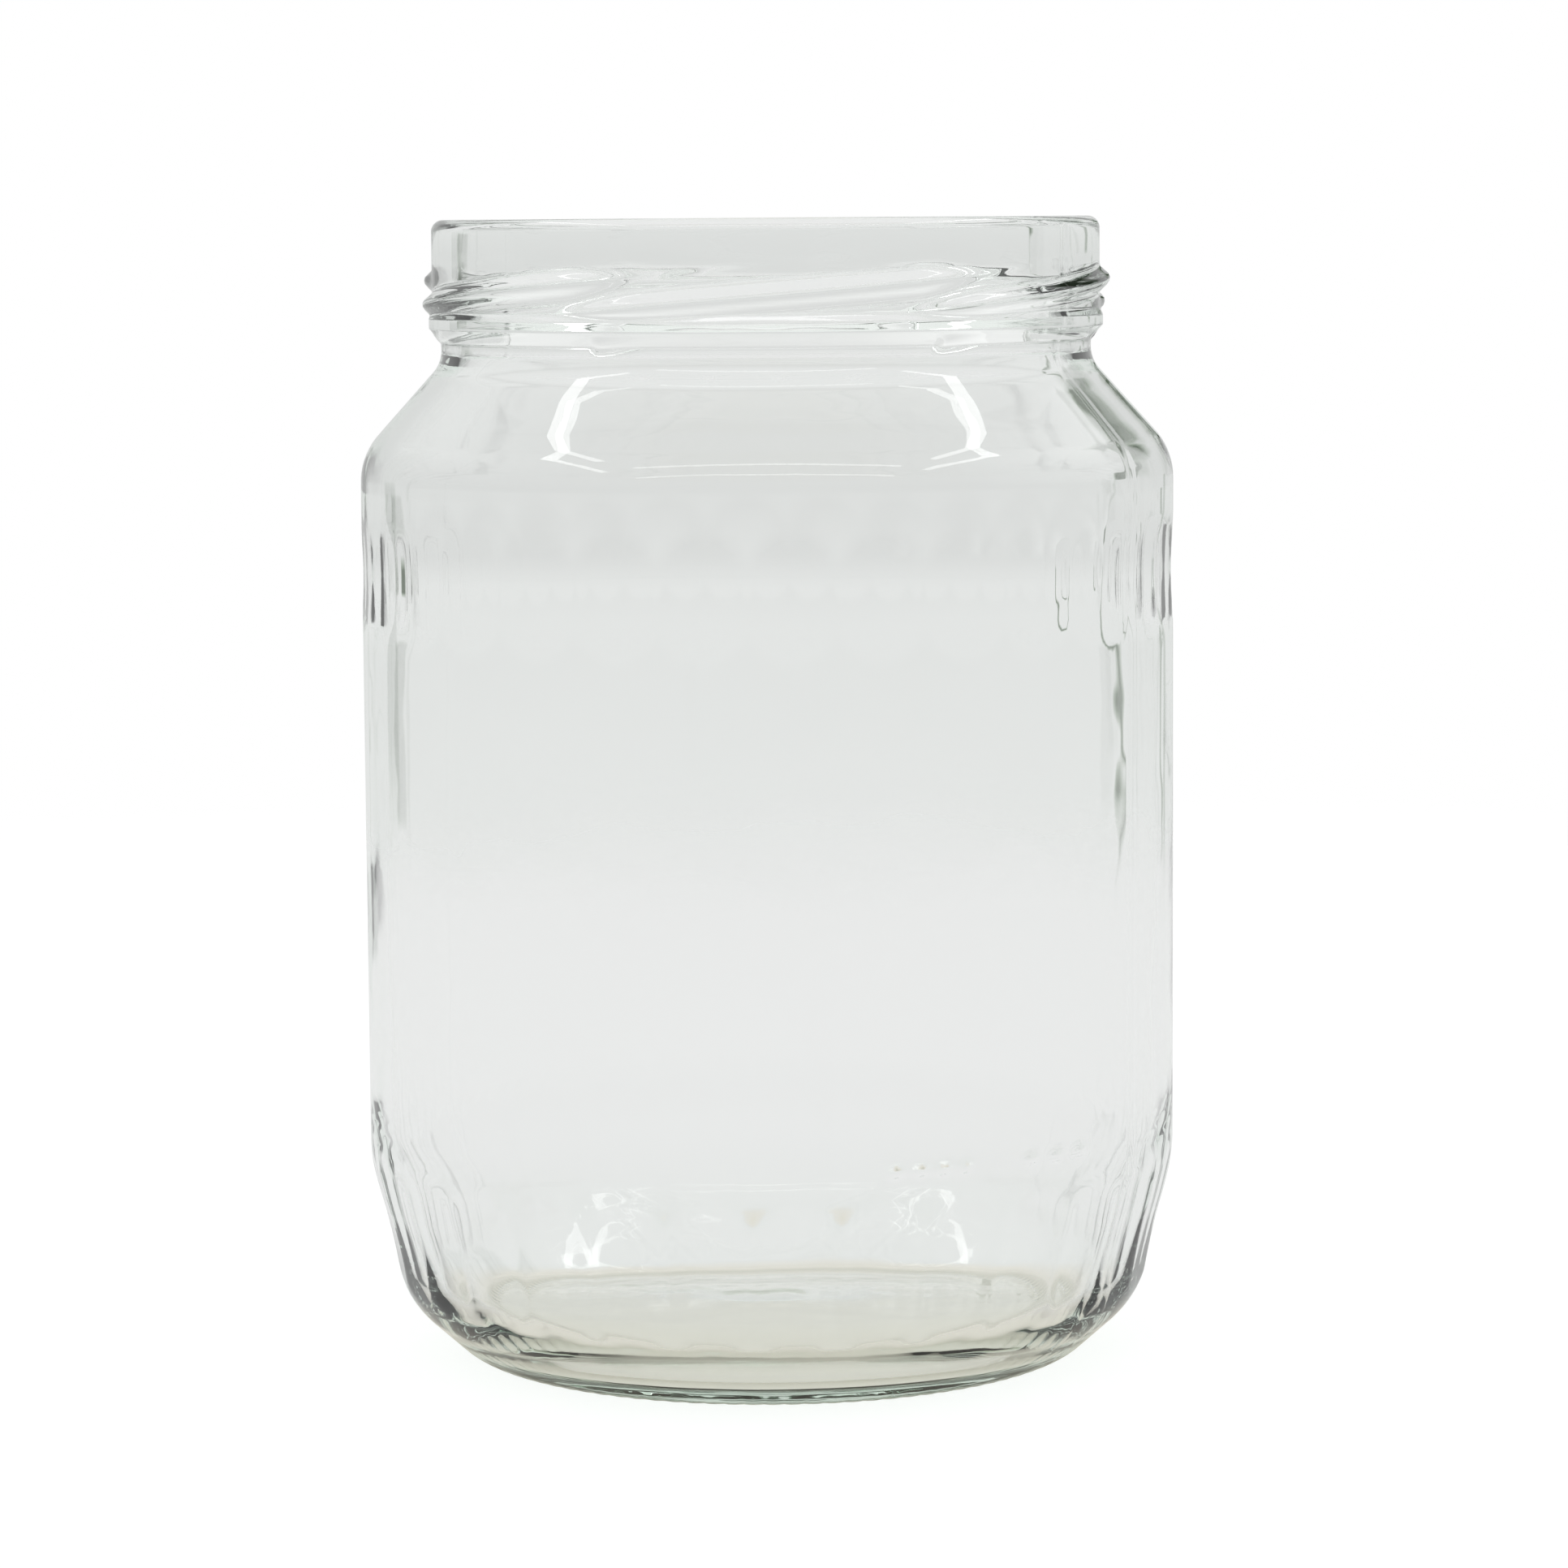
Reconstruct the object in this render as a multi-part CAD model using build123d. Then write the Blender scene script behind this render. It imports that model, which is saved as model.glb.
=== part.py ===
from build123d import *
import os
from math import cos, radians, sin, tan

# Empty twist-off preserving jar, moulded in one piece of clear glass. Millimetres.
# +Z is up, and the origin is the centre of the ring that the jar stands on. Angles run
# anticlockwise seen from above, from the middle of the front, which faces -Y.

# Overall size
jar_height = 134.7
body_diameter = 96.0

# Glass thickness. The heel and the floor are thicker than the wall, as on any moulded jar.
body_wall = 2.4
shoulder_wall = 2.6
heel_wall = 3.0
toe_wall = 3.4
floor_thickness = 3.8

# Finish: the moulded mouth, which takes an 82 mm six-lug cap
neck_diameter = 78.7
neck_wall = 2.95
rim_outer_radius = 1.4
rim_inner_radius = 0.9

# Six interrupted right-hand threads, each a low ridge that a lug of the cap slides under.
# thread_drop is from the rim down to the middle of a crest.
thread_starts = 6
thread_height = 1.25
thread_drop = 8.6
thread_lead = 19.5
thread_sweep = 78.0
thread_crest = 0.7
thread_upper_flank = 1.0
thread_lower_flank = 1.2
thread_run_in = 18.0
thread_run_out = 14.0
thread_root = 0.6
thread_stations = 14

# Transfer bead, which stands out from the neck, and the waist under it, which is narrower
bead_out = 0.4
bead_height = 1.2
bead_drop = 12.1
waist_in = 1.05
waist_top_drop = 14.3
waist_bottom_drop = 16.73
waist_radius = 4.0

# Shoulder: a cone from the waist out to the body. The angle is between the cone and the axis.
shoulder_angle = 42.0
shoulder_radius = 8.3

# Heel: the wall leans in below heel_height, then turns under at the toe
heel_height = 22.5
heel_radius = 31.0
toe_height = 7.0
toe_inset = 4.0
toe_radius = 10.8

# Bearing ring, and the base pushed up inside it
ring_inset = 11.8
ring_width = 5.2
ring_corner_radius = 5.6
ring_inner_radius = 40.0
push_up = 2.4

# Two bands of shallow upright flutes, with a plain label panel between them. The upper band
# is upper_flute_drop under the shoulder's corner, and the lower one runs down the heel.
flute_count = 30
first_flute_angle = 3.3
upper_flute_drop = 13.95
upper_flute_height = 13.5
upper_flute_depth = 0.40
lower_flute_over_heel = 2.5
lower_flute_over_toe = 1.0
lower_flute_depth = 0.55

# Small rounds where the glass turns a corner
edge_round = 0.25
soft_round = 0.6
inner_corner_radius = 6.0

body_radius = body_diameter / 2
neck_radius = neck_diameter / 2
mouth_radius = neck_radius - neck_wall
waist_r = neck_radius - waist_in
bead_r = neck_radius + bead_out
ring_outer_r = body_radius - ring_inset
ring_inner_r = ring_outer_r - ring_width
toe_r = body_radius - toe_inset
waist_bottom_z = jar_height - waist_bottom_drop
shoulder_z = waist_bottom_z - (body_radius - waist_r) / tan(radians(shoulder_angle))
bead_bottom_z = jar_height - bead_drop - bead_height / 2
bead_top_z = jar_height - bead_drop + bead_height / 2
bead_slope = 2 * bead_out
lower_flute_top = heel_height + lower_flute_over_heel
lower_flute_bottom = toe_height + lower_flute_over_toe


def moved_inwards(start, end, wall):
    """The line from start to end, moved to the inside of the glass by the wall's thickness."""
    run, rise = end[0] - start[0], end[1] - start[1]
    length = (run**2 + rise**2) ** 0.5
    shift = (-rise * wall / length, run * wall / length)
    return (start[0] + shift[0], start[1] + shift[1]), (run, rise)


def crossing(first, second):
    """The point where two lines meet, each given as a point on it and its direction."""
    (r1, z1), (u1, v1) = first
    (r2, z2), (u2, v2) = second
    along = ((r2 - r1) * v2 - (z2 - z1) * u2) / (u1 * v2 - v1 * u2)
    return r1 + along * u1, z1 + along * v1


def glass_wall():
    """The whole wall of glass, turned about the axis: up the outside, over the rim, down the inside."""
    toe = (toe_r, toe_height)
    heel = (body_radius, heel_height)
    shoulder = (body_radius, shoulder_z)
    waist = (waist_r, waist_bottom_z)
    outside = [
        ((ring_inner_r, 0), ring_inner_radius),
        ((ring_outer_r, 0), ring_corner_radius),
        (toe, toe_radius),
        (heel, heel_radius),
        (shoulder, shoulder_radius),
        (waist, waist_radius),
        ((waist_r, jar_height - waist_top_drop), soft_round),
        ((bead_r, bead_bottom_z), edge_round),
        ((bead_r, bead_top_z), soft_round),
        ((neck_radius, bead_top_z + bead_slope), soft_round),
        ((neck_radius, jar_height), rim_outer_radius),
    ]
    floor_line = (0, push_up + floor_thickness), (ring_inner_r, -push_up)
    toe_line = moved_inwards((ring_outer_r, 0), toe, toe_wall)
    heel_line = moved_inwards(toe, heel, heel_wall)
    body_line = moved_inwards(heel, shoulder, body_wall)
    shoulder_line = moved_inwards(shoulder, waist, shoulder_wall)
    mouth_line = (mouth_radius, 0), (0, 1)
    inside = [
        ((mouth_radius, jar_height), rim_inner_radius),
        (crossing(shoulder_line, mouth_line), waist_radius + shoulder_wall),
        (crossing(body_line, shoulder_line), shoulder_radius - body_wall),
        (crossing(heel_line, body_line), heel_radius - heel_wall),
        (crossing(toe_line, heel_line), toe_radius - heel_wall),
        (crossing(floor_line, toe_line), inner_corner_radius),
    ]
    corners = outside + inside
    start = (0, push_up)
    end = floor_line[0]
    path = FilletPolyline(start, *[point for point, _ in corners], end, radius=[r for _, r in corners])
    section = make_face([*path.edges(), Line(end, start).edge()])
    return revolve(Plane.XZ * section, axis=Axis.Z)


def upright_plane(angle):
    """A plane through the axis at this angle from the front: X points outwards, Y points up."""
    outwards = (sin(radians(angle)), -cos(radians(angle)), 0)
    across = (-cos(radians(angle)), -sin(radians(angle)), 0)
    return Plane(origin=(0, 0, 0), x_dir=outwards, z_dir=across)


def thread_fade(from_start, from_end):
    """How much of its height a thread has near its two ends, from 0 to 1."""
    near = min(1, from_start / thread_run_in, from_end / thread_run_out)
    return near * near * (3 - 2 * near)


def thread():
    """One interrupted thread, whose middle is at the front. Its ends sink into the neck."""
    sunk = thread_height + 0.2
    flank_run = thread_root + sunk
    sections = []
    for station in range(thread_stations):
        turned = thread_sweep * station / (thread_stations - 1)
        angle = turned - thread_sweep / 2
        crest_z = jar_height - thread_drop + thread_lead * angle / 360
        tip = neck_radius + thread_height - sunk * (1 - thread_fade(turned, thread_sweep - turned))
        root = tip - flank_run
        upper = thread_crest / 2
        slope_up = thread_upper_flank * flank_run / thread_height
        slope_down = thread_lower_flank * flank_run / thread_height
        side = tip - thread_crest / 8
        top = (side, crest_z + upper)
        bottom = (side, crest_z - upper)
        root_top = (root, crest_z + upper + slope_up)
        root_bottom = (root, crest_z - upper - slope_down)
        outline = [
            Line(root_bottom, root_top),
            Line(root_top, top),
            ThreePointArc(top, (tip, crest_z), bottom),
            Line(bottom, root_bottom),
        ]
        sections.append(upright_plane(angle) * make_face([line.edge() for line in outline]))
    return loft(sections)


def flute_cutter(outline):
    """A block that takes one flute off the wall: flat across the flute, curved along it."""
    half_width = body_radius * tan(radians(180 / flute_count)) + 1
    return extrude(upright_plane(0) * make_face([line.edge() for line in outline]), half_width, both=True)


def upper_flute():
    """A shallow dish at the top of the wall."""
    middle = shoulder_z - upper_flute_drop
    top = (body_radius, middle + upper_flute_height / 2)
    bottom = (body_radius, middle - upper_flute_height / 2)
    clear_top = (body_radius + 1, top[1])
    clear_bottom = (body_radius + 1, bottom[1])
    floor = ThreePointArc(bottom, (body_radius - upper_flute_depth, middle), top)
    return flute_cutter([floor, Line(top, clear_top), Line(clear_top, clear_bottom), Line(clear_bottom, bottom)])


def lower_flute():
    """A long shallow flute down the leaning part of the heel."""
    middle = (lower_flute_top + lower_flute_bottom) / 2
    lean = toe_inset / (heel_height - toe_height)
    top = (body_radius, lower_flute_top)
    bottom = (toe_r + lean * lower_flute_over_toe, lower_flute_bottom)
    deepest = (body_radius - lean * (heel_height - middle) - lower_flute_depth, middle)
    clear_top = (body_radius + 1, top[1])
    clear_bottom = (body_radius + 1, bottom[1])
    floor = ThreePointArc(bottom, deepest, top)
    return flute_cutter([floor, Line(top, clear_top), Line(clear_top, clear_bottom), Line(clear_bottom, bottom)])


def around(shape, count, first_angle):
    """Copies of a shape, evenly spaced about the axis."""
    return [Rot(Z=first_angle + 360 * step / count) * shape for step in range(count)]


def glass_jar():
    threads = around(thread(), thread_starts, 0)
    flutes = around(upper_flute(), flute_count, first_flute_angle)
    flutes += around(lower_flute(), flute_count, first_flute_angle)
    return glass_wall() + threads - flutes


os.makedirs("parts", exist_ok=True)
jar = glass_jar()
export_step(jar, "parts/glass_jar.step")
print("glass_jar: %d solid, %.0f mm3, %.0f g of glass" % (len(jar.solids()), jar.volume, jar.volume * 0.0025))
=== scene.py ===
from math import ceil, cos, pi, radians, sin, tan

import bpy
import numpy as np
from mathutils import Euler, Matrix, Vector

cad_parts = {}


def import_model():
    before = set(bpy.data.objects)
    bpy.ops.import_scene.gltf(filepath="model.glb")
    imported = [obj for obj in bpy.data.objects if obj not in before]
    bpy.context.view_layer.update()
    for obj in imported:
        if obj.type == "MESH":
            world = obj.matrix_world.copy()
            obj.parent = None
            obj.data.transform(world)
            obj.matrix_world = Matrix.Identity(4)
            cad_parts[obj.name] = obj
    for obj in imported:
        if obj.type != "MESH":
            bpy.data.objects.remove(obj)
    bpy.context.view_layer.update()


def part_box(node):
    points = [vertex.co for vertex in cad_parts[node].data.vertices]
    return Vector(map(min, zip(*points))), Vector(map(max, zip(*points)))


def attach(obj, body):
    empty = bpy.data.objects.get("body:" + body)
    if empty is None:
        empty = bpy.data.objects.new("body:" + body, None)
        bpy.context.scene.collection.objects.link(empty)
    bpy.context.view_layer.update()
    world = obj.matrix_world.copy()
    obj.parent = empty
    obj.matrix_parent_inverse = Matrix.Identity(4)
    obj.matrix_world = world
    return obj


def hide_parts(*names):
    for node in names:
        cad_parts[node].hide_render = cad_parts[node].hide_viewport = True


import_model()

# The jar's wall
# One piece of clear soda-lime glass, pressed to a thick blank by a plunger and then blown out in
# a two-part mould. The mould gives the outside its shape, and the inside is smooth and a little
# uneven. The heel and the floor stay thicker than the wall, because the glass cools there first.

mm = 0.001
lowest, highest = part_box("glass_jar")
jar_height = highest[2] - lowest[2]
body_radius = (highest[0] - lowest[0]) / 2

neck_radius = 39.35 * mm
neck_wall = 2.95 * mm
body_wall = 2.4 * mm
shoulder_wall = 2.6 * mm
heel_wall = 3.0 * mm
toe_wall = 3.4 * mm
floor_thickness = 3.8 * mm
push_up = 2.4 * mm

rim_middle = neck_radius - neck_wall / 2
mouth_radius = neck_radius - neck_wall
waist_radius = neck_radius - 1.05 * mm
bead_radius = neck_radius + 0.4 * mm
bead_bottom = jar_height - 12.7 * mm
bead_top = jar_height - 11.5 * mm
bead_slope = 0.8 * mm
waist_top = jar_height - 14.3 * mm
waist_bottom = jar_height - 16.73 * mm
shoulder_angle = radians(42)
shoulder_height = waist_bottom - (body_radius - waist_radius) / tan(shoulder_angle)
heel_height = 22.5 * mm
toe_height = 7.0 * mm
toe_radius = body_radius - 4.0 * mm
ring_outer = body_radius - 11.8 * mm
ring_inner = ring_outer - 5.2 * mm

rim_outer_round = 1.4 * mm
rim_inner_round = 0.9 * mm
edge_round = 0.25 * mm
soft_round = 0.6 * mm
waist_round = 4 * mm
shoulder_round = 8.3 * mm
heel_round = 31 * mm
toe_round = 10.8 * mm
ring_outer_round = 5.6 * mm
ring_inner_round = 40 * mm
floor_round = 6 * mm


def moved_inwards(start, end, wall):
    """The line from start to end, moved into the glass by its thickness: a point and a direction."""
    along = (Vector(end) - Vector(start)).normalized()
    return Vector(start) + wall * Vector((-along.y, along.x)), along


def crossing(first, second):
    """The point where two lines meet."""
    (p, u), (q, v) = first, second
    gap = q - p
    return p + u * (gap.x * v.y - gap.y * v.x) / (u.x * v.y - u.y * v.x)


def rounded(corners):
    """The outline through corners given as (radius, height, rounding), with an arc at each corner."""
    points = [Vector(corners[0][:2])]
    for before, corner, after in zip(corners, corners[1:], corners[2:]):
        tip = Vector(corner[:2])
        back = (Vector(before[:2]) - tip).normalized()
        on = (Vector(after[:2]) - tip).normalized()
        half = back.angle(on) / 2
        start = tip + back * corner[2] / tan(half)
        centre = tip + (back + on).normalized() * corner[2] / sin(half)
        turn = pi - 2 * half
        turn *= 1 if back.x * on.y - back.y * on.x < 0 else -1
        steps = ceil(abs(turn) / radians(1))
        spoke = start - centre
        for step in range(steps + 1):
            c, s = cos(turn * step / steps), sin(turn * step / steps)
            points.append(centre + Vector((spoke.x * c - spoke.y * s, spoke.x * s + spoke.y * c)))
    points.append(Vector(corners[-1][:2]))
    return np.array([tuple(p) for p in points])


def spaced(points, spacing):
    """The same outline in rows, as far apart as spacing gives, and closer where it bends."""
    fine_step, bend_step = 0.02 * mm, radians(5.6)
    way = np.diff(points, axis=0)
    turned = np.abs(np.diff(np.unwrap(np.arctan2(way[:, 1], way[:, 0]))))
    fine = np.concatenate([[0], np.cumsum(np.linalg.norm(way, axis=1))])
    bend = np.concatenate([[0], np.cumsum(np.concatenate([turned, [0]]))])
    along = np.arange(0, fine[-1], fine_step)
    radius = np.interp(along, fine, points[:, 0])
    height = np.interp(along, fine, points[:, 1])
    rows = np.cumsum(fine_step / spacing(radius, height)) + np.interp(along, fine, bend) / bend_step
    wanted = np.linspace(rows[0], rows[-1], int(rows[-1]) + 1)
    return np.column_stack([np.interp(wanted, rows, radius), np.interp(wanted, rows, height)])


outside = rounded([
    (0, push_up, 0),
    (ring_inner, 0, ring_inner_round),
    (ring_outer, 0, ring_outer_round),
    (toe_radius, toe_height, toe_round),
    (body_radius, heel_height, heel_round),
    (body_radius, shoulder_height, shoulder_round),
    (waist_radius, waist_bottom, waist_round),
    (waist_radius, waist_top, soft_round),
    (bead_radius, bead_bottom, edge_round),
    (bead_radius, bead_top, soft_round),
    (neck_radius, bead_top + bead_slope, soft_round),
    (neck_radius, jar_height, rim_outer_round),
    (rim_middle, jar_height, 0),
])

floor_line = Vector((0, push_up + floor_thickness)), Vector((ring_inner, -push_up))
toe_line = moved_inwards((ring_outer, 0), (toe_radius, toe_height), toe_wall)
heel_line = moved_inwards((toe_radius, toe_height), (body_radius, heel_height), heel_wall)
body_line = moved_inwards((body_radius, heel_height), (body_radius, shoulder_height), body_wall)
shoulder_line = moved_inwards((body_radius, shoulder_height), (waist_radius, waist_bottom), shoulder_wall)
mouth_line = Vector((mouth_radius, 0)), Vector((0, 1))
inside = rounded([
    (rim_middle, jar_height, 0),
    (mouth_radius, jar_height, rim_inner_round),
    (*crossing(shoulder_line, mouth_line), waist_round + shoulder_wall),
    (*crossing(body_line, shoulder_line), shoulder_round - body_wall),
    (*crossing(heel_line, body_line), heel_round - heel_wall),
    (*crossing(toe_line, heel_line), toe_round - heel_wall),
    (*crossing(floor_line, toe_line), floor_round),
    (0, push_up + floor_thickness, 0),
])

# Zones up the outside, each with its top and the distance between its rows, in millimetres:
# ring, lower flutes, code dots, label panel, upper flutes, shoulder, threads and rim
zones = ((2, 0.8), (27.6, 1.3), (30, 0.45), (83, 5), (101, 1.2), (121, 5), (130.5, 0.42), (140, 1))
zone_tops, zone_spacings = np.array(zones).T * mm
plain_spacing = 5 * mm


def outside_spacing(radius, height):
    """Close rows where the mould cut fine detail, and wide ones under the pushed-up base."""
    rows = zone_spacings[np.searchsorted(zone_tops, height)]
    rows[radius < ring_inner] = plain_spacing
    return rows


def inside_spacing(radius, height):
    """The smooth inside needs close rows only where it bends."""
    return np.full(len(height), plain_spacing)


outside_rows = spaced(outside, outside_spacing)[1:]
inside_rows = spaced(inside, inside_spacing)[1:-1]
rows = np.vstack([outside_rows, inside_rows])
columns = 390
first_column = radians(-2.7)


def turned_wall(name):
    """The plain wall, turned about the axis. Angles start at the front, -Y, and grow towards +X.

    Thirteen columns make a flute, and the first one is on the ridge between two flutes.
    """
    around = np.arange(columns) * 2 * pi / columns + first_column
    ring = np.column_stack([np.sin(around), -np.cos(around)])
    points = np.empty((len(rows), columns, 3))
    points[:, :, :2] = rows[:, None, :1] * ring[None, :, :]
    points[:, :, 2] = rows[:, None, 1]
    base_middle, floor_middle = len(rows) * columns, len(rows) * columns + 1
    points = np.vstack([points.reshape(-1, 3), [0, 0, push_up], [0, 0, push_up + floor_thickness]])
    here = np.arange(columns)
    then = (here + 1) % columns
    faces = [(base_middle, int(b), int(a)) for a, b in zip(here, then)]
    for row in range(len(rows) - 1):
        low, up = row * columns, (row + 1) * columns
        faces += [(low + int(a), low + int(b), up + int(b), up + int(a)) for a, b in zip(here, then)]
    last = (len(rows) - 1) * columns
    faces += [(last + int(a), last + int(b), floor_middle) for a, b in zip(here, then)]
    mesh = bpy.data.meshes.new(name)
    mesh.from_pydata(points.tolist(), [], faces)
    outer = np.zeros(len(points))
    outer[:len(outside_rows) * columns] = 1
    outer[base_middle] = 1
    mesh.attributes.new("outside", "FLOAT", "POINT").data.foreach_set("value", outer)
    mesh.polygons.foreach_set("use_smooth", [True] * len(mesh.polygons))
    wall = bpy.data.objects.new(name, mesh)
    bpy.context.scene.collection.objects.link(wall)
    return wall


# The details that the mould repeats round the wall
# Two bands of thirty shallow flutes, six interrupted threads, the knurled bearing ring, the code
# dots and the line where the mould's halves meet are all cut in the mould, so each follows
# a rule in the angle round the jar and the height. The inside wanders a little, as blown glass does.


class Number:
    """A number in a node tree, so that the rule of a shape reads as plain arithmetic."""

    def __init__(self, tree, socket):
        self.tree, self.socket = tree, socket

    def math(self, operation, *others):
        node = self.tree.nodes.new("ShaderNodeMath")
        node.operation = operation
        for place, value in zip(node.inputs, (self, *others)):
            if isinstance(value, Number):
                self.tree.links.new(value.socket, place)
            else:
                place.default_value = value
        return Number(self.tree, node.outputs[0])

    def __add__(self, other):
        return self.math("ADD", other)

    def __sub__(self, other):
        return self.math("SUBTRACT", other)

    def __mul__(self, other):
        return self.math("MULTIPLY", other)

    def __truediv__(self, other):
        return self.math("DIVIDE", other)

    def __neg__(self):
        return self * -1

    def clamped(self):
        return self.math("MAXIMUM", 0).math("MINIMUM", 1)

    def eased(self):
        """A smooth step from 0 to 1."""
        near = self.clamped()
        return near * near * (near * -2 + 3)


# Sizes of the details: angles in degrees, lengths in metres
sizes = {
    "Flute count": 30,
    "First flute": 3.3,
    "Flute edge": 0.02 * mm,
    "Upper flute low": 86.5 * mm,
    "Upper flute high": 100 * mm,
    "Upper flute depth": 0.40 * mm,
    "Lower flute low": 8 * mm,
    "Lower flute high": 25 * mm,
    "Lower flute depth": 0.55 * mm,
    "Thread count": 6,
    "Neck radius": neck_radius,
    "Thread height": jar_height - 8.6 * mm,
    "Thread depth": 1.25 * mm,
    "Thread lead": 19.5 * mm,
    "Thread sweep": 78,
    "Thread crest": 0.7 * mm,
    "Upper flank": 1.0 * mm,
    "Lower flank": 1.2 * mm,
    "Thread blend": 0.4,
    "Thread root": 0.45 * mm,
    "Thread sink": 0.2 * mm,
    "Run-in": 18,
    "Run-out": 14,
    "Seam angle": 60,
    "Seam width": 0.8,
    "Seam height": 0.08 * mm,
    "Seam fade": 4 * mm,
    "First dot": 16.75,
    "First dots": 4,
    "First dot spacing": 3.36,
    "Second dot": 37.45,
    "Second dots": 3,
    "Second dot spacing": 4.6032,
    "Dot height": 28.8 * mm,
    "Dot radius": 0.9 * mm,
    "Dot rise": 0.6 * mm,
    "Knurl count": 96,
    "Knurl depth": 0.08 * mm,
    "Knurl flat": 0.375,
    "Knurl top": 1.6 * mm,
    "Knurl inner edge": 33.5 * mm,
    "Wall wander": 0.5 * mm,
}


def mould_tree():
    """The node tree that gives the plain wall its moulded detail."""
    tree = bpy.data.node_groups.new("moulded_detail", "GeometryNodeTree")
    tree.is_modifier = True
    sockets = tree.interface
    sockets.new_socket("Geometry", in_out="INPUT", socket_type="NodeSocketGeometry")
    for name in sizes:
        sockets.new_socket(name, in_out="INPUT", socket_type="NodeSocketFloat")
    sockets.new_socket("Glass", in_out="INPUT", socket_type="NodeSocketMaterial")
    sockets.new_socket("Geometry", in_out="OUTPUT", socket_type="NodeSocketGeometry")
    nodes, links = tree.nodes, tree.links
    entry = nodes.new("NodeGroupInput")
    leave = nodes.new("NodeGroupOutput")
    size = {name: Number(tree, entry.outputs[name]) for name in sizes}

    place = nodes.new("GeometryNodeInputPosition")
    split = nodes.new("ShaderNodeSeparateXYZ")
    links.new(place.outputs[0], split.inputs[0])
    x, y, z = (Number(tree, split.outputs[axis]) for axis in range(3))
    radius = (x * x + y * y).math("SQRT")
    angle = x.math("ARCTAN2", -y) * (180 / pi)
    named = nodes.new("GeometryNodeInputNamedAttribute")
    named.data_type = "FLOAT"
    named.inputs["Name"].default_value = "outside"
    is_outside = Number(tree, named.outputs["Attribute"])

    def from_middle(value, spacing):
        """How far a value is from the nearest of many places, spaced evenly from 0."""
        return value - (value / spacing).math("ROUND") * spacing

    # Flutes: each is flat across and dished along its length
    flute_angle = size["Flute count"].math("POWER", -1) * 360
    off_flute = from_middle(angle - size["First flute"], flute_angle)
    flat = (off_flute * (pi / 180)).math("COSINE")

    def fluted(wall, low, high, depth):
        along = (z - (low + high) / 2) / ((high - low) / 2)
        dish = (along * along) * -1 + 1
        return wall.math("SMOOTH_MIN", (radius - depth * dish) / flat, size["Flute edge"])

    wall = fluted(radius, size["Upper flute low"], size["Upper flute high"], size["Upper flute depth"])
    wall = fluted(wall, size["Lower flute low"], size["Lower flute high"], size["Lower flute depth"])

    # Threads: the crest climbs with the angle, its two flanks slope, and both ends sink away
    thread_step = size["Thread count"].math("POWER", -1) * 360
    nearest = from_middle(angle, thread_step)
    for neighbour in (-1, 0, 1):
        turned = nearest + thread_step * neighbour
        over = z - size["Thread height"] - size["Thread lead"] * turned / 360
        half_crest = size["Thread crest"] / 2
        above = (over - half_crest) / size["Upper flank"]
        below = (-over - half_crest) / size["Lower flank"]
        blend = size["Thread blend"]
        shape = -above.math("SMOOTH_MAX", below, blend).math("SMOOTH_MAX", 0, blend) + 1
        to_start = (turned + size["Thread sweep"] / 2) / size["Run-in"]
        to_end = (size["Thread sweep"] / 2 - turned) / size["Run-out"]
        fade = to_start.math("MINIMUM", to_end).eased()
        ridge = size["Neck radius"] + size["Thread depth"] * shape
        ridge = ridge - (size["Thread depth"] + size["Thread sink"]) * (-fade + 1)
        wall = wall.math("SMOOTH_MAX", ridge, size["Thread root"])

    # Seam: a hair-thin raised line where the mould's halves met, on both sides of the jar
    off_seam = from_middle(angle - size["Seam angle"], 180)
    seam = (-off_seam.math("ABSOLUTE") / size["Seam width"] + 1).clamped()
    wall = wall + seam * size["Seam height"] * (z / size["Seam fade"]).eased()

    # Code dots: two short rows of small raised dots just over the heel
    def from_row(first, spacing, dots):
        past = angle - first
        nearest_dot = (past / spacing).math("ROUND").math("MAXIMUM", 0).math("MINIMUM", dots - 1)
        return (past - nearest_dot * spacing).math("ABSOLUTE")

    off_dot = from_row(size["First dot"], size["First dot spacing"], size["First dots"])
    off_second = from_row(size["Second dot"], size["Second dot spacing"], size["Second dots"])
    off_dot = off_dot.math("MINIMUM", off_second)
    across = off_dot * (pi / 180) * radius
    upwards = z - size["Dot height"]
    away = (across * across + upwards * upwards).math("SQRT")
    wall = wall + (-away / size["Dot radius"] + 1).eased() * size["Dot rise"]

    # Knurling: fine bars across the ring that the jar stands on
    off_bar = from_middle(angle, size["Knurl count"].math("POWER", -1) * 360)
    from_bar = off_bar.math("ABSOLUTE") * size["Knurl count"] / 180
    groove = ((from_bar - size["Knurl flat"]) / (-size["Knurl flat"] + 1)).clamped()
    on_ring = ((radius - size["Knurl inner edge"]) / mm).eased() * (-z / size["Knurl top"] + 1).eased()
    groove = groove * on_ring * size["Knurl depth"]

    # Inside: smooth, but never quite round or even
    noise = nodes.new("ShaderNodeTexNoise")
    noise.noise_dimensions = "4D"
    noise.inputs["W"].default_value = 3.7
    noise.inputs["Scale"].default_value = 32
    noise.inputs["Detail"].default_value = 1.5
    links.new(place.outputs[0], noise.inputs["Vector"])
    wander = (Number(tree, noise.outputs[0]) - 0.5) * size["Wall wander"] * (radius / body_radius).eased()

    moved = wall * is_outside + (radius + wander) * (-is_outside + 1)
    turn = angle * (pi / 180)
    join = nodes.new("ShaderNodeCombineXYZ")
    links.new((turn.math("SINE") * moved).socket, join.inputs[0])
    links.new((-turn.math("COSINE") * moved).socket, join.inputs[1])
    links.new((z + groove * is_outside).socket, join.inputs[2])

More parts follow.
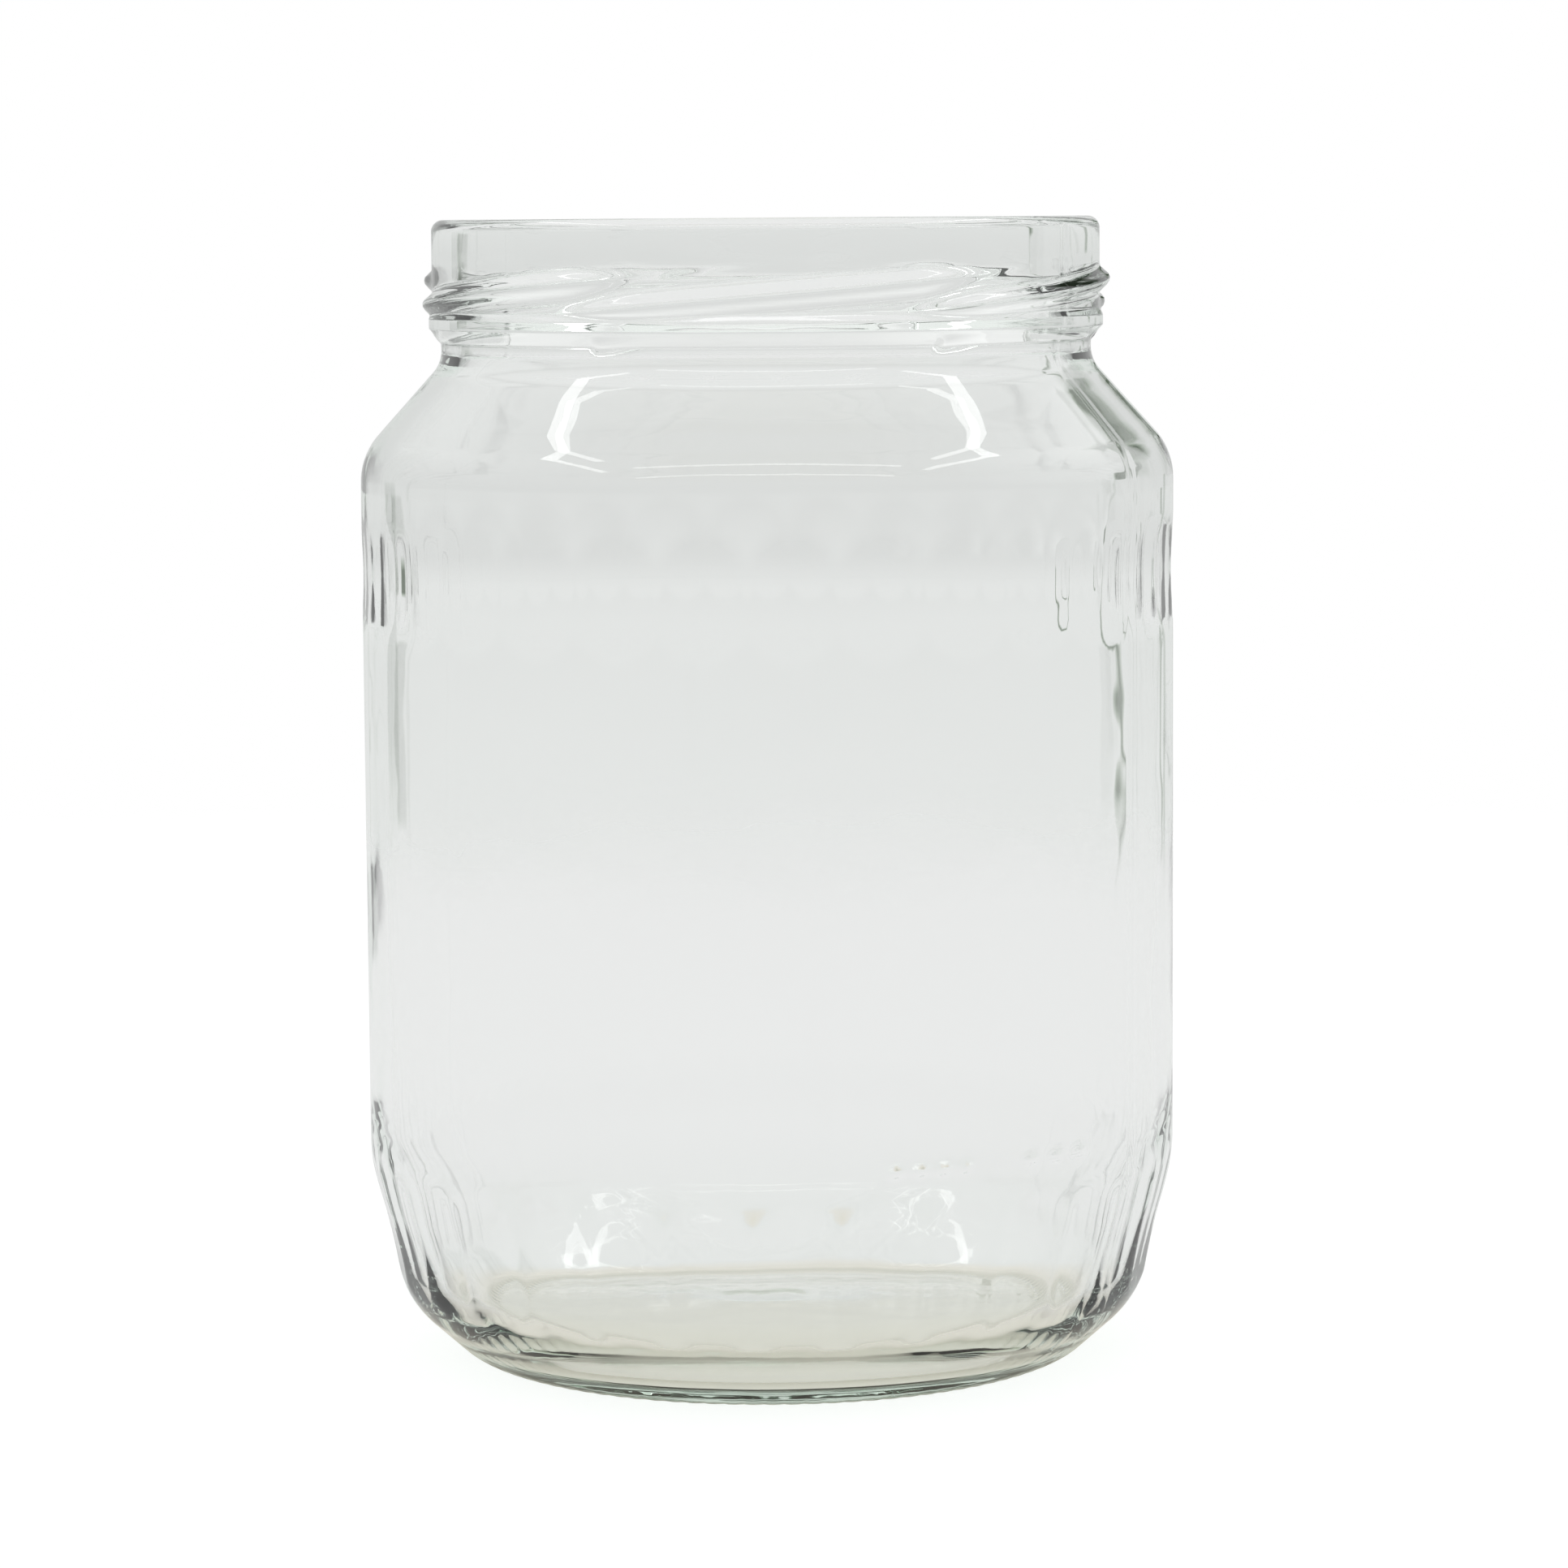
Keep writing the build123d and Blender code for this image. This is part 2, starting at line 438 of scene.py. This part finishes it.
    shift = nodes.new("GeometryNodeSetPosition")
    links.new(entry.outputs["Geometry"], shift.inputs["Geometry"])
    links.new(join.outputs[0], shift.inputs["Position"])
    realise = nodes.new("GeometryNodeRealizeInstances")
    paint = nodes.new("GeometryNodeSetMaterial")
    links.new(shift.outputs[0], realise.inputs[0])
    links.new(realise.outputs[0], paint.inputs["Geometry"])
    links.new(entry.outputs["Glass"], paint.inputs["Material"])
    links.new(paint.outputs[0], leave.inputs[0])
    return tree


# Clear glass
# Soda-lime container glass: almost colourless through the wall, faintly green where it is thick,
# with a skin that keeps the soft unevenness of the mould.


def clear_glass():
    glass = bpy.data.materials.new("clear_container_glass")
    glass.use_nodes = True
    nodes, links = glass.node_tree.nodes, glass.node_tree.links
    nodes.clear()
    out = nodes.new("ShaderNodeOutputMaterial")
    shader = nodes.new("ShaderNodeBsdfPrincipled")
    shader.inputs["Base Color"].default_value = (1, 1, 1, 1)
    shader.inputs["Roughness"].default_value = 0.0
    shader.inputs["IOR"].default_value = 1.52
    shader.inputs["Transmission Weight"].default_value = 1.0

    where = nodes.new("ShaderNodeTexCoord")
    ripple = nodes.new("ShaderNodeTexNoise")
    ripple.inputs["Scale"].default_value = 60
    ripple.inputs["Detail"].default_value = 2
    links.new(where.outputs["Object"], ripple.inputs["Vector"])
    bump = nodes.new("ShaderNodeBump")
    bump.inputs["Strength"].default_value = 0.08
    bump.inputs["Distance"].default_value = 0.001
    links.new(ripple.outputs[0], bump.inputs["Height"])
    links.new(bump.outputs[0], shader.inputs["Normal"])

    # Light on its way to the table goes straight through, so the jar casts only a pale shadow
    unbent = nodes.new("ShaderNodeBsdfTransparent")
    unbent.inputs["Color"].default_value = (0.94, 0.95, 0.94, 1)
    path = nodes.new("ShaderNodeLightPath")
    either = nodes.new("ShaderNodeMath")
    either.operation = "MAXIMUM"
    links.new(path.outputs["Is Shadow Ray"], either.inputs[0])
    links.new(path.outputs["Is Diffuse Ray"], either.inputs[1])
    mix = nodes.new("ShaderNodeMixShader")
    links.new(either.outputs[0], mix.inputs[0])
    links.new(shader.outputs[0], mix.inputs[1])
    links.new(unbent.outputs[0], mix.inputs[2])
    links.new(mix.outputs[0], out.inputs["Surface"])

    tint = nodes.new("ShaderNodeVolumeAbsorption")
    tint.inputs["Color"].default_value = (0.80, 0.875, 0.82, 1)
    tint.inputs["Density"].default_value = 24
    links.new(tint.outputs[0], out.inputs["Volume"])
    return glass


glass = clear_glass()
wall = turned_wall("glass_jar_wall")
mould = wall.modifiers.new("mould", "NODES")
mould.node_group = mould_tree()
for socket in mould.node_group.interface.items_tree:
    if socket.in_out == "INPUT" and socket.name in sizes:
        mould[socket.identifier] = float(sizes[socket.name])
    elif socket.in_out == "INPUT" and socket.name == "Glass":
        mould[socket.identifier] = glass
ready = wall.evaluated_get(bpy.context.evaluated_depsgraph_get())
moulded = bpy.data.meshes.new_from_object(ready)
wall.modifiers.clear()
wall.data = moulded
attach(wall, "root")
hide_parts("glass_jar")

# Studio
# A pale round table top, a white room with a few dark openings in its walls, which only the
# glass bends and mirrors into view, and three strip lamps overhead.


def table_top():
    """A thin pale disc that the jar stands on. Its far edge fades into the room."""
    reach, under_jar, corners = 0.64, -0.1 * mm, 128
    turns = [2 * pi * corner / corners for corner in range(corners)]
    mesh = bpy.data.meshes.new("table_top")
    edge = [(reach * cos(turn), reach * sin(turn), under_jar) for turn in turns]
    mesh.from_pydata(edge, [], [tuple(range(corners))])
    disc = bpy.data.objects.new("table_top", mesh)
    bpy.context.scene.collection.objects.link(disc)
    pale = bpy.data.materials.new("pale_table")
    pale.use_nodes = True
    tree = pale.node_tree
    nodes, links = tree.nodes, tree.links
    nodes.clear()
    out = nodes.new("ShaderNodeOutputMaterial")
    where = nodes.new("ShaderNodeTexCoord")
    split = nodes.new("ShaderNodeSeparateXYZ")
    links.new(where.outputs["Object"], split.inputs[0])
    x, y = Number(tree, split.outputs[0]), Number(tree, split.outputs[1])
    away = (x * x + y * y).math("SQRT")
    path = nodes.new("ShaderNodeLightPath")
    by_eye = Number(tree, path.outputs["Is Camera Ray"])

    def mixed(kind, factor, first, second):
        mix = nodes.new(kind)
        if kind == "ShaderNodeMix":
            mix.data_type = "RGBA"
            links.new(factor.socket, mix.inputs["Factor"])
            mix.inputs[6].default_value, mix.inputs[7].default_value = first, second
            return mix.outputs[2]
        links.new(factor.socket, mix.inputs[0])
        links.new(first, mix.inputs[1])
        links.new(second, mix.inputs[2])
        return mix.outputs[0]

    # Painted shadow: under the jar the table is coloured darker and warmer, standing in for the jar's
    # shade there, and a soft painted shade lies along the bearing ring
    matt = nodes.new("ShaderNodeBsdfDiffuse")
    painted_shadow_reach, painted_shadow_fade = 40 * mm, 14 * mm
    shade_middle, shade_reach = 36.5 * mm, 4.5 * mm
    shadow_to_pale = ((away - painted_shadow_reach) / painted_shadow_fade).eased()
    ground = mixed("ShaderNodeMix", shadow_to_pale, (0.83, 0.77, 0.71, 1), (0.832, 0.824, 0.831, 1))
    under_ring = -((away - shade_middle) / shade_reach).math("ABSOLUTE") + 1
    shade = nodes.new("ShaderNodeMix")
    shade.data_type, shade.blend_type = "RGBA", "MULTIPLY"
    links.new(under_ring.eased().socket, shade.inputs["Factor"])
    links.new(ground, shade.inputs[6])
    shade.inputs[7].default_value = (0.80, 0.80, 0.76, 1)
    links.new(shade.outputs[2], matt.inputs[0])
    bright = nodes.new("ShaderNodeBsdfDiffuse")
    bright.inputs[0].default_value = (0.5, 0.5, 0.5, 1)
    glow = nodes.new("ShaderNodeEmission")
    glow.inputs["Strength"].default_value = 0.56
    lifted = nodes.new("ShaderNodeAddShader")
    links.new(bright.outputs[0], lifted.inputs[0])
    links.new(glow.outputs[0], lifted.inputs[1])
    bounced = nodes.new("ShaderNodeEmission")
    bounced.inputs["Strength"].default_value = 0.02
    below = nodes.new("ShaderNodeAddShader")
    links.new(matt.outputs[0], below.inputs[0])
    links.new(bounced.outputs[0], below.inputs[1])
    surface = mixed("ShaderNodeMixShader", by_eye, below.outputs[0], lifted.outputs[0])
    gone = nodes.new("ShaderNodeBsdfTransparent")
    fade_start, fade_run = 0.40, 0.22
    fade = ((away - fade_start) / fade_run).eased()
    links.new(mixed("ShaderNodeMixShader", fade, surface, gone.outputs[0]), out.inputs[0])
    mesh.materials.append(pale)
    return disc


table_top()

room = bpy.data.worlds.new("room")
bpy.context.scene.world = room
room.use_nodes = True
nodes, links = room.node_tree.nodes, room.node_tree.links
nodes.clear()
out = nodes.new("ShaderNodeOutputWorld")
seen = nodes.new("ShaderNodeBackground")
seen.inputs["Color"].default_value = (1, 1, 1, 1)
seen.inputs["Strength"].default_value = 1.0
through = nodes.new("ShaderNodeBackground")
path = nodes.new("ShaderNodeLightPath")
where = nodes.new("ShaderNodeTexCoord")
split = nodes.new("ShaderNodeSeparateXYZ")
links.new(where.outputs["Generated"], split.inputs[0])
dx, dy, dz = (Number(room.node_tree, split.outputs[axis]) for axis in range(3))

# Directions in degrees: bearing from straight behind the jar towards the right, climb from level
bearing = dx.math("ARCTAN2", dy) * (180 / pi)
climb = dz.math("ARCSINE") * (180 / pi)


def past(value, start, run):
    """0 until value reaches start, and 1 once it is past that by run."""
    return ((value - start) / run).clamped()


def before(value, end, run):
    """1 until value is within run of end, and 0 once it reaches end."""
    return (-(value - end) / run).clamped()


# The dark openings: a strip on the right that steps outwards as it climbs, what lies beyond it,
# a patch high on the right, and narrow gaps low down on both sides
low_down = (-climb).eased()
edge = ((climb - 4.5) / 2.5).eased() * 2.5 + 10.5
strip_width = ((climb - 2) / 2).eased() * 2.6 + ((-climb - 1.3) / 1.5).eased() * 0.6 + 0.4
right_edge = past(bearing, edge, 0.4) * before(bearing, edge + strip_width, 0.6) * before(climb, 12, 4)
beyond = past(bearing, edge + 2, 1) * before(bearing, 20, 1) * past(climb, 3, 2) * before(climb, 12, 4)
right_side = past(bearing, 24, 6) * before(bearing, 42, 4) * past(climb, 13, 4) * before(climb, 38, 4)
left_edge = past(bearing, -22, 0.4) * before(bearing, -21, 0.4) * low_down
far_right = past(bearing, 26.5, 1) * before(bearing, 30, 1) * low_down
far_left = past(bearing, -52, 1) * before(bearing, -43, 1) * past(climb, -6.5, 1) * before(climb, 2, 3)
depths = ((beyond, 0.35), (right_side, 0.85), (left_edge, 0.35), (far_right, 0.6), (far_left, 0.85))
dark = -right_edge * 0.85 + 1
for opening, depth in depths:
    dark = dark * (-opening * depth + 1)

# The light between them: walls a little dimmer than the ceiling, and brighter beside the strip
wall_light = past(climb, -6, 7) * -0.085 + 0.79
ceiling_light = ((climb - 12) / 25).eased() * 0.25
beside_gap = past(bearing, 3, 7) * before(bearing, 11, 0.5) * past(climb, -0.5, 2)
level = (wall_light + ceiling_light) * (beside_gap * 0.12 + 1)
channel_shares = ((1.001, 1.15), (1.014, 1.0), (1.004, 1.2))
tone = nodes.new("ShaderNodeCombineXYZ")
for channel, (share, deepening) in enumerate(channel_shares):
    links.new((level * share * dark.math("POWER", deepening)).socket, tone.inputs[channel])
links.new(tone.outputs[0], through.inputs["Color"])
mix = nodes.new("ShaderNodeMixShader")
links.new(path.outputs["Is Camera Ray"], mix.inputs[0])
links.new(through.outputs[0], mix.inputs[1])
links.new(seen.outputs[0], mix.inputs[2])
links.new(mix.outputs[0], out.inputs[0])


def strip_lamp(name, place, length, width, glow):
    """One long thin soft lamp, aimed at the jar, as bright as glow times white."""
    lamp = bpy.data.lights.new(name, "AREA")
    lamp.shape = "RECTANGLE"
    lamp.size, lamp.size_y = length, width
    lamp.energy = glow * pi * length * width
    made = bpy.data.objects.new(name, lamp)
    bpy.context.scene.collection.objects.link(made)
    aim = (Vector((0, 0, 0.1)) - Vector(place)).to_track_quat("-Z", "Y").to_matrix().to_4x4()
    made.matrix_world = Matrix.Translation(place) @ aim
    return made


strip_lamp("lamp_front", (0, -0.68, 0.92), 1.3, 0.045, 3.2)
strip_lamp("lamp_left", (-0.60, 0.10, 0.96), 1.0, 0.045, 3.6)
strip_lamp("lamp_right", (0.60, 0.10, 0.96), 1.0, 0.045, 3.6)

# Camera
# Level with the rim, in front of the jar, looking a little down at it through a long lens.
camera_data = bpy.data.cameras.new("camera")
camera_data.sensor_width = 36
camera_data.lens = 122
camera = bpy.data.objects.new("camera", camera_data)
bpy.context.scene.collection.objects.link(camera)
place = Matrix.Translation((0, -0.630, 134.55 * mm))
aim = Euler((radians(90 - 6.07), 0, radians(-0.159))).to_matrix().to_4x4()
roll = Matrix.Rotation(radians(-0.4), 4, "Z")
camera.matrix_world = place @ aim @ roll
bpy.context.scene.camera = camera

bpy.context.scene.view_settings.view_transform = "Standard"
bpy.context.scene.cycles.max_bounces = 24
bpy.context.scene.cycles.glossy_bounces = 16
bpy.context.scene.cycles.transmission_bounces = 24
bpy.context.scene.cycles.transparent_max_bounces = 24
